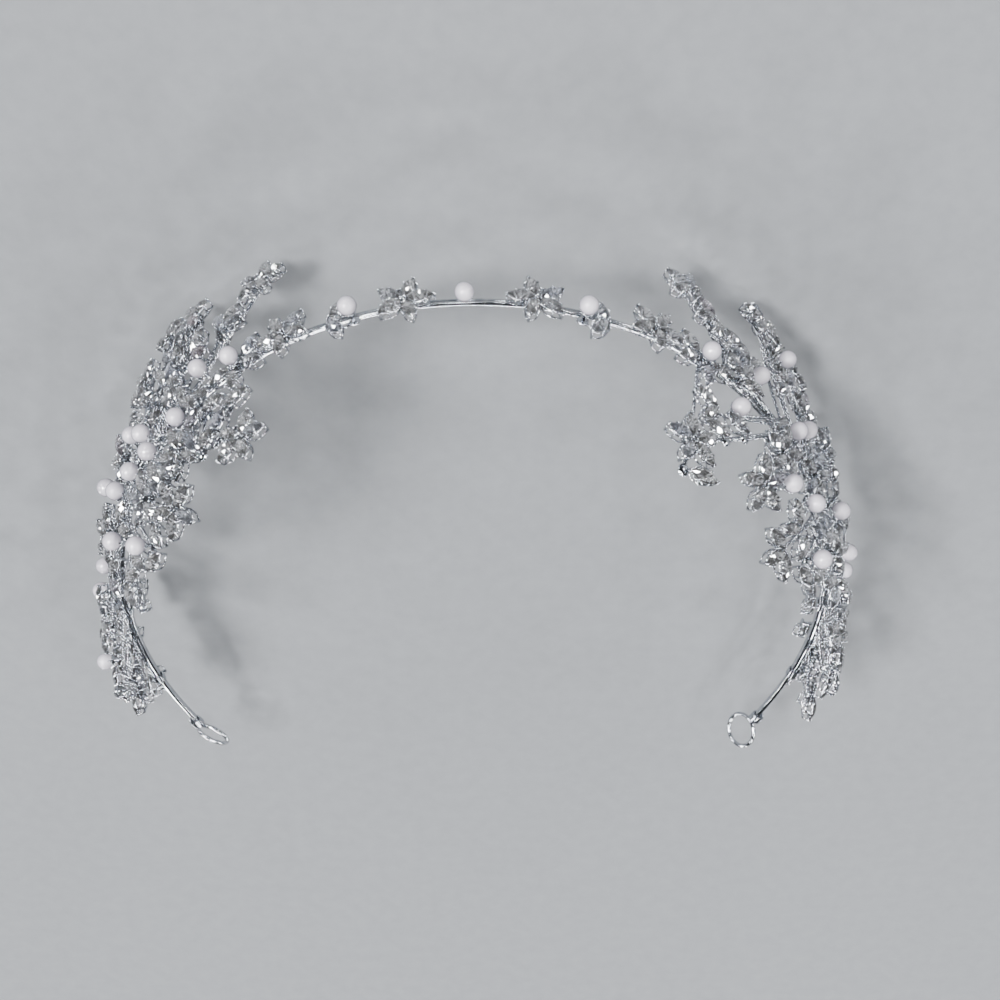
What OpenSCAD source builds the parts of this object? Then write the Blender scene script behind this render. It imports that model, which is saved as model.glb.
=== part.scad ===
// Pearl headband: an open arch of grooved strip with an eyelet at each end, marquise-cut
// flowers along the top, and a spray of flowers, leaves and pearls on wire stems at each side.
// It lies on its back. X is to the wearer's side, Y from the eyelets to the top of the arch,
// Z up, and the origin is on the surface below the middle of the whole headband.

/* [Band] */
// Radius of the arch over the crown of the head
crown_r = 70; // [68:1:74]
// Radius of the arch beside the head
side_r = 81; // [78:1:84]
// Radius of the arch behind the ears
end_r = 86; // [80:1:100]
// Width of the strip
strip_w = 1.3; // [1.1:0.1:1.4]
// Thickness of the strip
strip_t = 0.9; // [0.8:0.05:1]
// Radius of the hole in each eyelet
eyelet_r = 3.2; // [3:0.1:3.4]

/* [Stones and pearls] */
// Length of a petal's marquise stone
petal_l = 4.8; // [4.5:0.1:5]
// Width of a petal's marquise stone
petal_w = 2.3; // [2.1:0.1:2.4]
// Length of a single leaf's marquise stone
leaf_l = 5.6; // [5.2:0.1:5.8]
// Diameter of a pearl
pearl_d = 3.6; // [3.2:0.1:3.8]

/* [Metalwork] */
// Height of a setting's wall
setting_h = 2; // [1.8:0.1:2.2]
// Thickness of a setting's wall
setting_wall = 0.32; // [0.3:0.02:0.36]
// Diameter of a stem
stem_d = 0.8; // [0.7:0.05:0.9]

/* [Hidden] */

// How the headband lies: turned onto its back, top and one side raised, and shifted onto the origin
rest_tilt = 8.4;
rest_roll = 0.8;
rest_shift = [0.2, 60.2, 32.1];

// Band outline from the top of the arch down one side: [radius, turn in degrees]
arcs = [[crown_r, 46], [side_r, 60], [end_r, 13.4]];
// Turn by which each stretch runs on round the next one, and the next one's size beside its own
arc_overrun = 0.3;
arc_taper = 0.98;
// Turn of each eyelet about the strip, in degrees
left_eyelet_turn = -25;
right_eyelet_turn = 60;
eyelet_wire = 0.9;
// How far an eyelet's ring runs into the strip's end
eyelet_bite = eyelet_wire / 4;
// Shares of an eyelet's wire: depth of the straight flanks, and half width of the outer face
eyelet_flank = 0.7;
eyelet_face = 0.2;
// Shares of the strip's half size: floor of the groove, and outer and inner edge of a ridge's top
groove_floor = 0.6;
ridge_outer = 0.7;
ridge_inner = 0.25;

// Clear space left around a stone or a pearl
gap = 0.12;
// Extra length at a setting's two sharp tips, for the same space
tip_gap = 0.24;
tip_wall = 0.42;
hub_r = 0.66;
// Height of the girdle above a setting's own base
girdle_h = setting_h - 0.1;
crown_share = 0.28;
pavilion_share = 0.45;
table_share = 0.55;

pearl_r = pearl_d / 2;
cup_r = 1.25;
cup_h = 0.7;
// Height of a pearl's middle above its row's place
pearl_lift = pearl_r + cup_h / 3;
// Height of the bend in the post of a flower on the band's top
post_lift = 0.5;
stem_r = stem_d / 2;
wire_sides = 6;
wire_overrun = 0.15;
// A stem's bend: how far along and out from the root it lies, and its drop below the girdle
knee_share = 0.7;
knee_out_share = 0.75;
knee_drop = 3.4;
// How far a stem's end goes into the hub
stem_bite = 0.2;
// Height of the spray's spine wire above the middle of the strip
spine_gap = 0.15;
spine_lift = strip_t / 2 + spine_gap + stem_r;
spine_start = 41;
spine_end = 146;
spine_step = 7;
tie_stations = [47, 72, 98, 121, 143];
tie_w = 1.6;
tie_wall = 0.35;
// Radius over the head that the sprays follow from front to back
spray_r = 150;
cup_sides = 12;
round_fine = 64;
arc_fine = 720;

// Flower kinds: [name, stone length, distance of a stone's middle, stones' turns, stones across, pearl]
KINDS = [
    ["star", petal_l, 3.1, [0, 72, 144, 216, 288], false, false],
    ["bloom", petal_l, 4.2, [0, 72, 144, 216, 288], false, true],
    ["trio", petal_l, 3.1, [-68, 0, 68], false, false],
    ["pair", petal_l, 3.1, [-38, 38], false, false],
    ["leaf", leaf_l, 3.4, [0], false, false],
    ["cradle", petal_l, 3.75, [-82, 0, 82], true, true],
    ["bud", petal_l, 3.75, [-40, 40], true, true],
    ["pearl", 0, 0, [], false, true]
];

// Top of the band: [kind, side, distance along the band, forward or back, lift, turn]
top_rows = [
    ["pearl", -1, 1.1, 0, 0.3, 0],
    ["star", 1, 11.6, -1.2, 3, 36],
    ["star", -1, 11.6, -1.2, 3, 36],
    ["bud", 1, 20, -3, 2.5, 0],
    ["bud", -1, 21, -2.3, 2.5, 10],
    ["star", 1, 33.6, -0.7, 3, 60],
    ["star", -1, 34.2, -1, 3, 60]
];

// Left spray: [kind, distance along the band, forward or back, lift, turn, lean, where its stem starts]
left_rows = [
    ["bloom", 44, -3, 3, 60, 0, 46],
    ["trio", 48.5, 10.5, 4.2, 130, 0, 60],
    ["star", 42, 21, 4, 30, 0, 63],
    ["pearl", 52, 0, 3, 0, 0, 56],
    ["star", 57.5, 18.5, 6.6, 10, 0, 76],
    ["pair", 56.5, 8.5, 4.6, 170, -10, 66],
    ["trio", 66.5, 22.5, 6.8, 100, 0, 84],
    ["trio", 73, 15, 6.2, 60, -10, 88],
    ["trio", 63, 5.5, 5, 140, -15, 74],
    ["leaf", 55.5, -4.5, 3.6, 200, -10, 60],
    ["pair", 72.5, 8, 5.8, 150, -15, 84],
    ["pearl", 56, -10, 3.4, 0, 0, 66],
    ["leaf", 51.5, -11, 3.6, 180, -10, 70],
    ["leaf", 46.5, -13, 3, 170, -10, 70],
    ["star", 57, -16.5, 3.6, 10, -20, 74],
    ["leaf", 49, -19.5, 3.4, 135, -10, 72],
    ["star", 42.4, -22.5, 3, 40, 0, 72],
    ["pearl", 76, 4, 3, 0, 0, 80],
    ["pearl", 67, -5, 4, 0, 0, 76],
    ["pearl", 65, -11, 3.2, 0, 0, 78],
    ["pearl", 71, -11, 3.5, 0, 0, 82],
    ["pearl", 78, -9.5, 3.5, 0, 0, 86],
    ["pearl", 84, -3, 4, 0, 0, 94],
    ["star", 69, -18.5, 3.4, 40, -20, 84],
    ["star", 59.5, -28, 3, 20, -25, 80],
    ["cradle", 71, -27.5, 2, -90, -20, 86],
    ["pair", 83, -13, 3, 200, -20, 92],
    ["pearl", 79, -21, 3, 0, 0, 92],
    ["trio", 85, 7, 4.4, 30, -20, 92],
    ["trio", 88, 17, 4, 50, -15, 98],
    ["star", 93, -7, 3.6, 10, -20, 104],
    ["pair", 90, -19, 2.6, 230, -20, 104],
    ["pair", 99, 4, 4.4, 40, -10, 106],
    ["trio", 103, 14, 3, 20, -10, 110],
    ["pearl", 113, 5, 3, 0, 0, 113],
    ["pearl", 115, 0, 3, 0, 0, 116],
    ["pair", 116, 13, 2.6, 120, 0, 112],
    ["star", 122.5, 4, 4, 50, -10, 117],
    ["pair", 128.5, 10, 2.2, 60, 0, 120],
    ["trio", 111, -10, 3, 210, -15, 118],
    ["pearl", 124.5, -10.5, 2.5, 0, 0, 120],
    ["pair", 132, -9, 3.2, 320, -10, 124],
    ["pair", 132, 1, 2.8, 40, 0, 128],
    ["pair", 138.5, -6.5, 3, 330, 0, 133],
    ["pair", 142, 1.5, 2.8, 0, 0, 138]
];

// Right spray, with the same columns as the left one
right_rows = [
    ["bloom", 43.5, -3, 3, 60, 0, 46],
    ["trio", 47.5, 10.5, 4.2, 200, 0, 60],
    ["trio", 42.5, 17, 4, 150, 0, 62],
    ["pair", 53.5, 5.5, 4.2, 180, 0, 64],
    ["pearl", 58, 3, 2, 0, 0, 66],
    ["star", 60, 19.5, 6.8, 30, 0, 78],
    ["pearl", 67, 15, 4.5, 0, 0, 80],
    ["trio", 67, 7, 5, 150, -10, 82],
    ["pair", 74.5, 19, 5.6, 60, 0, 88],
    ["trio", 75, 8, 4.6, 100, -10, 86],
    ["pearl", 67, -5, 3, 0, 0, 74],
    ["pearl", 72, 0, 3, 0, 0, 78],
    ["pair", 46, -14.5, 3, 190, 0, 68],
    ["pearl", 51, -11, 1.5, 0, 0, 66],
    ["leaf", 54, -15.5, 3, 170, -10, 70],
    ["leaf", 48.5, -20, 3.4, 180, -10, 70],
    ["star", 40.4, -25, 3, 30, 0, 70],
    ["star", 63.5, -13, 3.8, 30, -15, 78],
    ["star", 58, -24.5, 3, 50, -25, 76],
    ["pearl", 65, -19.5, 2, 0, 0, 80],
    ["pair", 71, -25, 2.4, 180, -20, 86],
    ["pearl", 72.5, -18.5, 2.5, 0, 0, 84],
    ["trio", 82, 4, 5.2, 100, -15, 88],
    ["pair", 90, 8, 4.8, 60, -10, 94],
    ["pearl", 84, -10.5, 3.5, 0, 0, 90],
    ["star", 75.5, -8.5, 4, 40, -20, 88],
    ["pair", 85, 17, 4, 10, -10, 96],
    ["cradle", 75, -29, 2.8, -90, -20, 92],
    ["trio", 66.5, -33, 2, 240, -25, 90],
    ["trio", 88, -17, 3, 60, -20, 98],
    ["trio", 95, -6, 4, 200, -20, 102],
    ["trio", 97, 6, 4, 30, -10, 104],
    ["pair", 101, 16, 3, 50, 0, 110],
    ["pearl", 107, 1, 3, 0, 0, 109],
    ["pair", 101, -17, 3, 230, -20, 108],
    ["pair", 118, 14, 2.4, 20, 0, 112],
    ["pearl", 115, 4, 3, 0, 0, 112],
    ["trio", 114, -7, 3.6, 10, -15, 114],
    ["pair", 128, 9, 2, 40, 0, 120],
    ["trio", 123, 1, 3.8, 70, -10, 119],
    ["trio", 126, -9.5, 3.2, 40, -10, 121],
    ["leaf", 133.5, 6, 1.8, 20, 0, 127],
    ["pair", 134, -1, 3.4, 0, 0, 129],
    ["trio", 139.5, -8.5, 3, 20, 0, 134]
];

TOP_PEARLS = pearl_rows(top_rows);
LEFT_PEARLS = pearl_rows(left_rows);
RIGHT_PEARLS = pearl_rows(right_rows);

// Rows of a table whose kind carries a pearl
function pearl_rows(rows) = [for (row = rows) if (kind_of(row[0])[5]) row];
function kind_of(name) = KINDS[search([name], KINDS)[0]];

// Band line: arc lengths, heading below level, and place at a distance from the top
function arc_l(i) = arcs[i][0] * arcs[i][1] * PI / 180;
function arc_start(i) = i == 0 ? 0 : arc_start(i - 1) + arc_l(i - 1);
function arc_at(d) = d < arc_start(1) ? 0 : d < arc_start(2) ? 1 : 2;
function head_in(i) = i == 0 ? 0 : head_in(i - 1) + arcs[i - 1][1];
function heading(d) = let (i = arc_at(d)) head_in(i) + (d - arc_start(i)) / arcs[i][0] * 180 / PI;
function turned(r, a) = [r * sin(a), r * cos(a)];
function arc_centre(i) = i == 0 ? [0, -arcs[0][0]]
    : arc_centre(i - 1) + turned(arcs[i - 1][0] - arcs[i][0], head_in(i));
function place(d) = let (i = arc_at(d)) arc_centre(i) + turned(arcs[i][0], heading(d));
band_end = arc_start(2) + arc_l(2);

// A point of a spray in the arch's frame: along the band, forward or back, and lift
function spray_point(d, y, h) = let (
        a = y / spray_r * 180 / PI, p = place(d), n = heading(d),
        lift = (spray_r + h) * cos(a) - spray_r
    ) [p[0] + lift * sin(n), (spray_r + h) * sin(a), p[1] + lift * cos(n)];

// Outline of a marquise, sharp at both ends, with four straight steps on each side
function marquise(l, w) = let (
        r = (l * l + w * w) / (4 * w),
        half = [for (k = [-2 : 2]) let (x = k * l / 4) [x, sqrt(r * r - x * x) - r + w / 2]]
    ) concat(half, [for (k = [3 : -1 : 1]) [half[k][0], -half[k][1]]]);

module lay_down() {
    translate(rest_shift) rotate([rest_tilt - 90, rest_roll, 0]) children();
}

// Carries children to the band, X down the arch and Z away from the head
module at_band(d) {
    p = place(d);
    translate([p[0], 0, p[1]]) rotate([0, heading(d), 0]) children();
}

module at_spray(d, y, h) {
    at_band(d) translate([0, 0, -spray_r]) rotate([-y / spray_r * 180 / PI, 0, 0])
        translate([0, 0, spray_r + h]) children();
}

// Carries children to a row of the top's table
module on_top_row(row) {
    on_side(row[1]) at_spray(row[2], row[3], row[4]) rotate([0, 0, row[5]]) children();
}

// Carries children to a row of a spray's table
module on_row(row) {
    at_spray(row[1], row[2], row[3]) rotate([-row[5], 0, 0]) rotate([0, 0, row[4]]) children();
}

module on_side(side) {
    if (side > 0) children();
    else mirror([1, 0, 0]) children();
}

// Carries children to each stone of a flower, X along the stone
module at_stones(kind) {
    for (a = kind[3]) rotate([0, 0, a]) translate([kind[2], 0, 0])
        rotate([0, 0, kind[4] ? 90 : 0]) children();
}

module stones(kind) {
    at_stones(kind) stone(kind[1], petal_w);
}

// One cut stone: eight-sided table, crown facets, sharp girdle and a point below
module stone(l, w) {
    rim = marquise(l, w);
    n = len(rim);
    points = concat(
        [for (p = rim) [p[0] * table_share, p[1] * table_share, w * crown_share]],
        [for (p = rim) [p[0], p[1], 0]],
        [[0, 0, -w * pavilion_share]]
    );
    faces = concat(
        [[for (i = [0 : n - 1]) i]],
        [for (i = [0 : n - 1]) [i, n + i, n + (i + 1) % n, (i + 1) % n]],
        [for (i = [0 : n - 1]) [n + i, 2 * n, n + (i + 1) % n]]
    );
    polyhedron(points, faces);
}

module setting_outline(l) {
    polygon(marquise(l + 2 * (tip_gap + tip_wall), petal_w + 2 * (gap + setting_wall)));
}

// Spaces for a flower's stones, cut through its metal
module pockets(kind) {
    at_stones(kind) linear_extrude(2 * setting_h, center = true)
        polygon(marquise(kind[1] + 2 * tip_gap, petal_w + 2 * gap));
}

module pearl(extra = 0) {
    translate([0, 0, pearl_lift]) sphere(pearl_r + extra, $fn = round_fine);
}

// Cup of a pearl on a foot that reaches down by the given length
module cup(foot) {
    difference() {
        cylinder(h = cup_h, r = cup_r, $fn = cup_sides);
        pearl(gap);
    }
    translate([0, 0, -foot]) cylinder(h = foot + cup_h / 4, r = hub_r, $fn = cup_sides);
}

// Settings of one flower, not yet cut by the stones' pockets
module flower_metal(kind, foot = girdle_h) {
    if (len(kind[3]) > 0) {
        translate([0, 0, -girdle_h]) linear_extrude(setting_h) union() {
            at_stones(kind) setting_outline(kind[1]);
            circle(hub_r, $fn = cup_sides);
            if (kind[5]) for (a = kind[3]) rotate(a) translate([0, -hub_r / 2]) square([kind[2], hub_r]);
        }
    }
    if (kind[5]) cup(foot);
}

// Straight wire between two points, run on past both so that wires in a row overlap
module wire(from, to) {
    v = to - from;
    l = norm(v);
    translate(from) rotate([0, acos(v[2] / l), atan2(v[1], v[0])])
        translate([0, 0, -wire_overrun]) cylinder(h = l + 2 * wire_overrun, r = stem_r, $fn = wire_sides);
}

// Stem from the spine to a flower: low over the head, then up to the foot of the flower's hub
module stem(row) {
    root = spray_point(row[6], 0, spine_lift);
    knee_along = row[6] + (row[1] - row[6]) * knee_share;
    knee = spray_point(knee_along, row[2] * knee_out_share, max(spine_lift, row[3] - knee_drop));
    foot = girdle_h - stem_bite;
    tip = spray_point(row[1], row[2] - foot * sin(row[5]), row[3] - foot * cos(row[5]));
    wire(root, knee);
    wire(knee, tip);
}

// Sweeps a child profile, X away from the arch's centre, down one side of the band
module along_band() {
    for (i = [0 : len(arcs) - 1]) {
        c = arc_centre(i);
        turn = arcs[i][1] + arc_overrun;
        translate([c[0], 0, c[1]]) rotate([90, 0, 0]) rotate([0, 0, 90 - head_in(i) - turn])
            rotate_extrude(angle = turn, $fn = arc_fine) translate([arcs[i][0], 0])
                scale(pow(arc_taper, i)) children();
    }
}

module strip_profile() {
    t = strip_t / 2;
    w = strip_w / 2;
    low = t * groove_floor;
    polygon([[-t, -w], [low, -w], [t, -w * ridge_outer], [t, -w * ridge_inner], [low, 0],
        [t, w * ridge_inner], [t, w * ridge_outer], [low, w], [-t, w]]);
}

// Eyelet at the strip's end, with a flat inner wall and rounded outer edges
module eyelet(turn) {
    ring_r = eyelet_r + eyelet_wire / 2;
    flank = eyelet_wire * eyelet_flank;
    face = eyelet_wire * eyelet_face;
    half = eyelet_wire / 2;
    at_band(band_end) translate([ring_r + eyelet_bite, 0, 0]) rotate([turn, 0, 0])
        rotate([90, 0, 0]) rotate_extrude($fn = round_fine * 2) translate([eyelet_r, 0]) polygon([
            [0, -half], [flank, -half], [eyelet_wire, -face], [eyelet_wire, face], [flank, half], [0, half]
        ]);
}

// Post of a flower on the band's top: out of the strip, then up into the flower's hub.
// A pearl that sits low on the strip has its cup's foot in the strip and no post.
module post(row) {
    foot = spray_point(row[2], row[3], post_lift);
    wire(spray_point(row[2], 0, 0), foot);
    wire(foot, spray_point(row[2], row[3], row[4] - girdle_h / 2));
}

module band() {
    color("gainsboro") lay_down() difference() {
        union() {
            for (side = [-1, 1]) on_side(side) {
                along_band() strip_profile();
                eyelet(side < 0 ? left_eyelet_turn : right_eyelet_turn);
            }
            for (row = top_rows) {
                on_top_row(row) flower_metal(kind_of(row[0]), min(girdle_h, row[4]));
                if (row[4] > post_lift) on_side(row[1]) post(row);
            }
        }
        for (row = top_rows) on_top_row(row) pockets(kind_of(row[0]));
    }
}

// Tie that holds a spray's spine on the band and clears the strip
module tie() {
    inner_w = strip_w + 2 * gap;
    inner_t = strip_t + 2 * gap;
    rotate([0, 90, 0]) linear_extrude(tie_w, center = true) difference() {
        square([inner_t + 2 * tie_wall, inner_w + 2 * tie_wall], center = true);
        square([inner_t, inner_w], center = true);
    }
}

module spray_metal(rows) {
    for (d = [spine_start : spine_step : spine_end - spine_step])
        wire(spray_point(d, 0, spine_lift), spray_point(d + spine_step, 0, spine_lift));
    for (d = tie_stations) at_band(d) tie();
    for (row = rows) {
        stem(row);
        on_row(row) flower_metal(kind_of(row[0]));
    }
}

module spray(side, rows) {
    color("gainsboro") lay_down() on_side(side) difference() {
        spray_metal(rows);
        for (row = rows) on_row(row) pockets(kind_of(row[0]));
    }
}

module spray_stones(side, rows) {
    color("aliceblue") lay_down() on_side(side) for (row = rows) on_row(row) stones(kind_of(row[0]));
}

module top_stones() {
    color("aliceblue") lay_down() for (row = top_rows) on_top_row(row) stones(kind_of(row[0]));
}

module top_pearl(row) {
    color("ivory") lay_down() on_top_row(row) pearl();
}

module spray_pearl(side, row) {
    color("ivory") lay_down() on_side(side) on_row(row) pearl();
}

band();
spray(-1, left_rows);  // left_spray
spray(1, right_rows);  // right_spray
top_stones();
spray_stones(-1, left_rows);  // left_stones
spray_stones(1, right_rows);  // right_stones
for (i = [0 : len(TOP_PEARLS) - 1])
    top_pearl(TOP_PEARLS[i]);
for (i = [0 : len(LEFT_PEARLS) - 1])
    spray_pearl(-1, LEFT_PEARLS[i]);
for (i = [0 : len(RIGHT_PEARLS) - 1])
    spray_pearl(1, RIGHT_PEARLS[i]);
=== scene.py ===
import math

import bpy
import numpy as np
from mathutils import Matrix, Vector


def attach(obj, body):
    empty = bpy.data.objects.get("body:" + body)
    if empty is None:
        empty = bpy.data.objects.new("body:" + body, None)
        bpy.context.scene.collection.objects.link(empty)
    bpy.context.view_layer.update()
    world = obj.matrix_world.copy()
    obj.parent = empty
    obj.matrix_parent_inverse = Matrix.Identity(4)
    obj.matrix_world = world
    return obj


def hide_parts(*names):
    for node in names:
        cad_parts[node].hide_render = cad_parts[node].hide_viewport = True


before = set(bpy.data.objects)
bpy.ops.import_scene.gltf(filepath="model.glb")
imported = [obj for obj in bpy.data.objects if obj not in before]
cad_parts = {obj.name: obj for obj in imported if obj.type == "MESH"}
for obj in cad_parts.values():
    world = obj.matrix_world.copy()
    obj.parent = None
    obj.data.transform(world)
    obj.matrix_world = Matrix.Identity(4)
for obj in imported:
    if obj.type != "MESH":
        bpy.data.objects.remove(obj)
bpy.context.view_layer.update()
print("frame loaded,", len(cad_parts), "solids")

# Everything is worked out in millimetres on the upright arch, whose top is at the origin with
# X to one side, Y to the back and Z up, and is then laid down on its back in metres.
lie = {"tilt": 8.4, "roll": 0.8, "shift": (0.2, 60.2, 32.1)}
arch = {"radii": (70, 81, 86), "turns": (46, 60, 13.4), "overHead": 150}
archLength = sum(r * math.radians(a) for r, a in zip(arch["radii"], arch["turns"]))  # of one side

# kind: stone length, distance of a stone's middle from the flower's, turns, stones across, pearl
flowerKinds = {
    "star": (4.8, 3.1, (0, 72, 144, 216, 288), False, False),
    "bloom": (4.8, 4.2, (0, 72, 144, 216, 288), False, True),
    "trio": (4.8, 3.1, (-68, 0, 68), False, False),
    "pair": (4.8, 3.1, (-38, 38), False, False),
    "leaf": (5.6, 3.4, (0,), False, False),
    "cradle": (4.8, 3.75, (-82, 0, 82), True, True),
    "bud": (4.8, 3.75, (-40, 40), True, True),
    "pearl": (0, 0, (), False, True),
}

# kind, side, distance along the band, forward or back, lift, turn
topRows = [
    ("pearl", -1, 1.1, 0, 0.3, 0),
    ("star", 1, 11.6, -1.2, 3, 36),
    ("star", -1, 11.6, -1.2, 3, 36),
    ("bud", 1, 20, -3, 2.5, 0),
    ("bud", -1, 21, -2.3, 2.5, 10),
    ("star", 1, 33.6, -0.7, 3, 60),
    ("star", -1, 34.2, -1, 3, 60),
]

# kind, distance along the band, forward or back, lift, turn, lean, where the stem starts
leftRows = [
    ("bloom", 44, -3, 3, 60, 0, 46),
    ("trio", 48.5, 10.5, 4.2, 130, 0, 60),
    ("star", 42, 21, 4, 30, 0, 63),
    ("pearl", 52, 0, 3, 0, 0, 56),
    ("star", 57.5, 18.5, 6.6, 10, 0, 76),
    ("pair", 56.5, 8.5, 4.6, 170, -10, 66),
    ("trio", 66.5, 22.5, 6.8, 100, 0, 84),
    ("trio", 73, 15, 6.2, 60, -10, 88),
    ("trio", 63, 5.5, 5, 140, -15, 74),
    ("leaf", 55.5, -4.5, 3.6, 200, -10, 60),
    ("pair", 72.5, 8, 5.8, 150, -15, 84),
    ("pearl", 56, -10, 3.4, 0, 0, 66),
    ("leaf", 51.5, -11, 3.6, 180, -10, 70),
    ("leaf", 46.5, -13, 3, 170, -10, 70),
    ("star", 57, -16.5, 3.6, 10, -20, 74),
    ("leaf", 49, -19.5, 3.4, 135, -10, 72),
    ("star", 42.4, -22.5, 3, 40, 0, 72),
    ("pearl", 76, 4, 3, 0, 0, 80),
    ("pearl", 67, -5, 4, 0, 0, 76),
    ("pearl", 65, -11, 3.2, 0, 0, 78),
    ("pearl", 71, -11, 3.5, 0, 0, 82),
    ("pearl", 78, -9.5, 3.5, 0, 0, 86),
    ("pearl", 84, -3, 4, 0, 0, 94),
    ("star", 69, -18.5, 3.4, 40, -20, 84),
    ("star", 59.5, -28, 3, 20, -25, 80),
    ("cradle", 71, -27.5, 2, -90, -20, 86),
    ("pair", 83, -13, 3, 200, -20, 92),
    ("pearl", 79, -21, 3, 0, 0, 92),
    ("trio", 85, 7, 4.4, 30, -20, 92),
    ("trio", 88, 17, 4, 50, -15, 98),
    ("star", 93, -7, 3.6, 10, -20, 104),
    ("pair", 90, -19, 2.6, 230, -20, 104),
    ("pair", 99, 4, 4.4, 40, -10, 106),
    ("trio", 103, 14, 3, 20, -10, 110),
    ("pearl", 113, 5, 3, 0, 0, 113),
    ("pearl", 115, 0, 3, 0, 0, 116),
    ("pair", 116, 13, 2.6, 120, 0, 112),
    ("star", 122.5, 4, 4, 50, -10, 117),
    ("pair", 128.5, 10, 2.2, 60, 0, 120),
    ("trio", 111, -10, 3, 210, -15, 118),
    ("pearl", 124.5, -10.5, 2.5, 0, 0, 120),
    ("pair", 132, -9, 3.2, 320, -10, 124),
    ("pair", 132, 1, 2.8, 40, 0, 128),
    ("pair", 138.5, -6.5, 3, 330, 0, 133),
    ("pair", 142, 1.5, 2.8, 0, 0, 138),
]
rightRows = [
    ("bloom", 43.5, -3, 3, 60, 0, 46),
    ("trio", 47.5, 10.5, 4.2, 200, 0, 60),
    ("trio", 42.5, 17, 4, 150, 0, 62),
    ("pair", 53.5, 5.5, 4.2, 180, 0, 64),
    ("pearl", 58, 3, 2, 0, 0, 66),
    ("star", 60, 19.5, 6.8, 30, 0, 78),
    ("pearl", 67, 15, 4.5, 0, 0, 80),
    ("trio", 67, 7, 5, 150, -10, 82),
    ("pair", 74.5, 19, 5.6, 60, 0, 88),
    ("trio", 75, 8, 4.6, 100, -10, 86),
    ("pearl", 67, -5, 3, 0, 0, 74),
    ("pearl", 72, 0, 3, 0, 0, 78),
    ("pair", 46, -14.5, 3, 190, 0, 68),
    ("pearl", 51, -11, 1.5, 0, 0, 66),
    ("leaf", 54, -15.5, 3, 170, -10, 70),
    ("leaf", 48.5, -20, 3.4, 180, -10, 70),
    ("star", 40.4, -25, 3, 30, 0, 70),
    ("star", 63.5, -13, 3.8, 30, -15, 78),
    ("star", 58, -24.5, 3, 50, -25, 76),
    ("pearl", 65, -19.5, 2, 0, 0, 80),
    ("pair", 71, -25, 2.4, 180, -20, 86),
    ("pearl", 72.5, -18.5, 2.5, 0, 0, 84),
    ("trio", 82, 4, 5.2, 100, -15, 88),
    ("pair", 90, 8, 4.8, 60, -10, 94),
    ("pearl", 84, -10.5, 3.5, 0, 0, 90),
    ("star", 75.5, -8.5, 4, 40, -20, 88),
    ("pair", 85, 17, 4, 10, -10, 96),
    ("cradle", 75, -29, 2.8, -90, -20, 92),
    ("trio", 66.5, -33, 2, 240, -25, 90),
    ("trio", 88, -17, 3, 60, -20, 98),
    ("trio", 95, -6, 4, 200, -20, 102),
    ("trio", 97, 6, 4, 30, -10, 104),
    ("pair", 101, 16, 3, 50, 0, 110),
    ("pearl", 107, 1, 3, 0, 0, 109),
    ("pair", 101, -17, 3, 230, -20, 108),
    ("pair", 118, 14, 2.4, 20, 0, 112),
    ("pearl", 115, 4, 3, 0, 0, 112),
    ("trio", 114, -7, 3.6, 10, -15, 114),
    ("pair", 128, 9, 2, 40, 0, 120),
    ("trio", 123, 1, 3.8, 70, -10, 119),
    ("trio", 126, -9.5, 3.2, 40, -10, 121),
    ("leaf", 133.5, 6, 1.8, 20, 0, 127),
    ("pair", 134, -1, 3.4, 0, 0, 129),
    ("trio", 139.5, -8.5, 3, 20, 0, 134),
]
# small flowers that only the render has, low in the gaps between the others
leftExtras = [
    ("trio", 81, 20, 2, 240, -20, 85),
    ("trio", 131, -1, 4.6, 240, -5, 127),
    ("pair", 51, -10, 4.6, 0, -20, 55),
    ("pair", 81, -28, 2, 240, -20, 85),
    ("pair", 63.5, 11, 4.6, 120, -20, 67.5),
    ("trio", 101, -22, 2, 300, -5, 105),
    ("pair", 61, -22, 4.6, 120, -20, 65),
    ("pair", 51, -22, 4.6, 120, -20, 55),
    ("pair", 133.5, -4, 2, 0, -5, 129.5),
    ("pair", 128.5, -16, 2, 180, -5, 124.5),
    ("pair", 58.5, 2, 4.6, 300, -20, 62.5),
    ("trio", 76, 8, 2, 180, -20, 80),
    ("pair", 53.5, 20, 2, 240, -20, 57.5),
    ("trio", 68.5, 20, 2, 120, -5, 72.5),
]
rightExtras = [
    ("trio", 51, -4, 4.6, 60, -5, 55),
    ("trio", 121, -19, 2, 60, -5, 117),
    ("trio", 78.5, -22, 3.6, 120, -5, 82.5),
    ("trio", 138.5, 2, 4.6, 60, -20, 134.5),
    ("trio", 58.5, 8, 2, 120, -5, 62.5),
    ("pair", 48.5, 26, 2, 240, -20, 52.5),
    ("trio", 96, -28, 2, 300, -20, 100),
    ("pair", 131, -10, 3.6, 0, -20, 127),
    ("trio", 86, -25, 3.6, 300, -20, 90),
    ("trio", 63.5, -7, 2, 0, -20, 67.5),
    ("pair", 143.5, 2, 4.6, 60, -20, 139.5),
    ("pair", 66, 20, 4.6, 0, -20, 70),
    ("leaf", 40, -31, 2, 0, -20, 44),
]


def turnAbout(axis, degrees):
    # rotation matrix about X, Y or Z
    return np.array(Matrix.Rotation(math.radians(degrees), 3, axis))


lieTurn = turnAbout("Y", lie["roll"]) @ turnAbout("X", lie["tilt"] - 90)


def layDown(points):
    # turned onto the back, shifted onto the floor, and from millimetres to metres
    return (points @ lieTurn.T + np.array(lie["shift"])) / 1000


def unit(vectors):
    # each vector divided by its length
    return vectors / np.linalg.norm(vectors, axis=-1, keepdims=True)


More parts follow.
